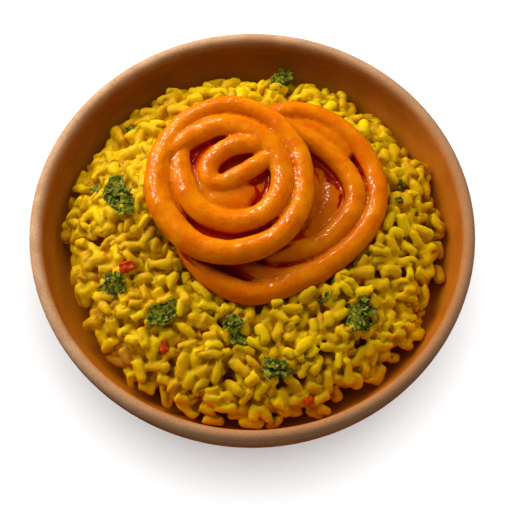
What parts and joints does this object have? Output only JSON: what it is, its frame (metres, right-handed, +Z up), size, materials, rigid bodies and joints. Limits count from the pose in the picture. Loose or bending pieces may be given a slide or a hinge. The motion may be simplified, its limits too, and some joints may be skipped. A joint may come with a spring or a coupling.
{
  "type": "jalebi on rice in a bowl",
  "caption": "Round clay bowl heaped with yellow rice, with coiled syrup-soaked jalebis lying on top and torn herb leaves.",
  "frame": {"origin": "bottom centre of the bowl, on the surface that it stands on", "axes": "+Z up along the axis of the bowl; -Y towards the eater, +X to the eater's right"},
  "size_m": [0.15, 0.15, 0.0634],
  "materials": {
    "clay": "matt unglazed clay",
    "rice": "moist cooked rice, slightly shiny",
    "syrup_batter": "fried batter under sugar syrup, glossy",
    "herb": "wilted leaf, satin",
    "chilli": "diced, moist"
  },
  "bodies": {
    "root": {"bowl": "clay", "rice_heap": "rice", "jalebi_front": "syrup_batter", "jalebi_back": "syrup_batter", "leaf_left": "herb", "leaf_lower_left": "herb", "leaf_front_left": "herb", "leaf_front_middle": "herb", "leaf_front_edge": "herb", "leaf_front_right": "herb", "leaf_back": "herb"}
  },
  "joints": []
}
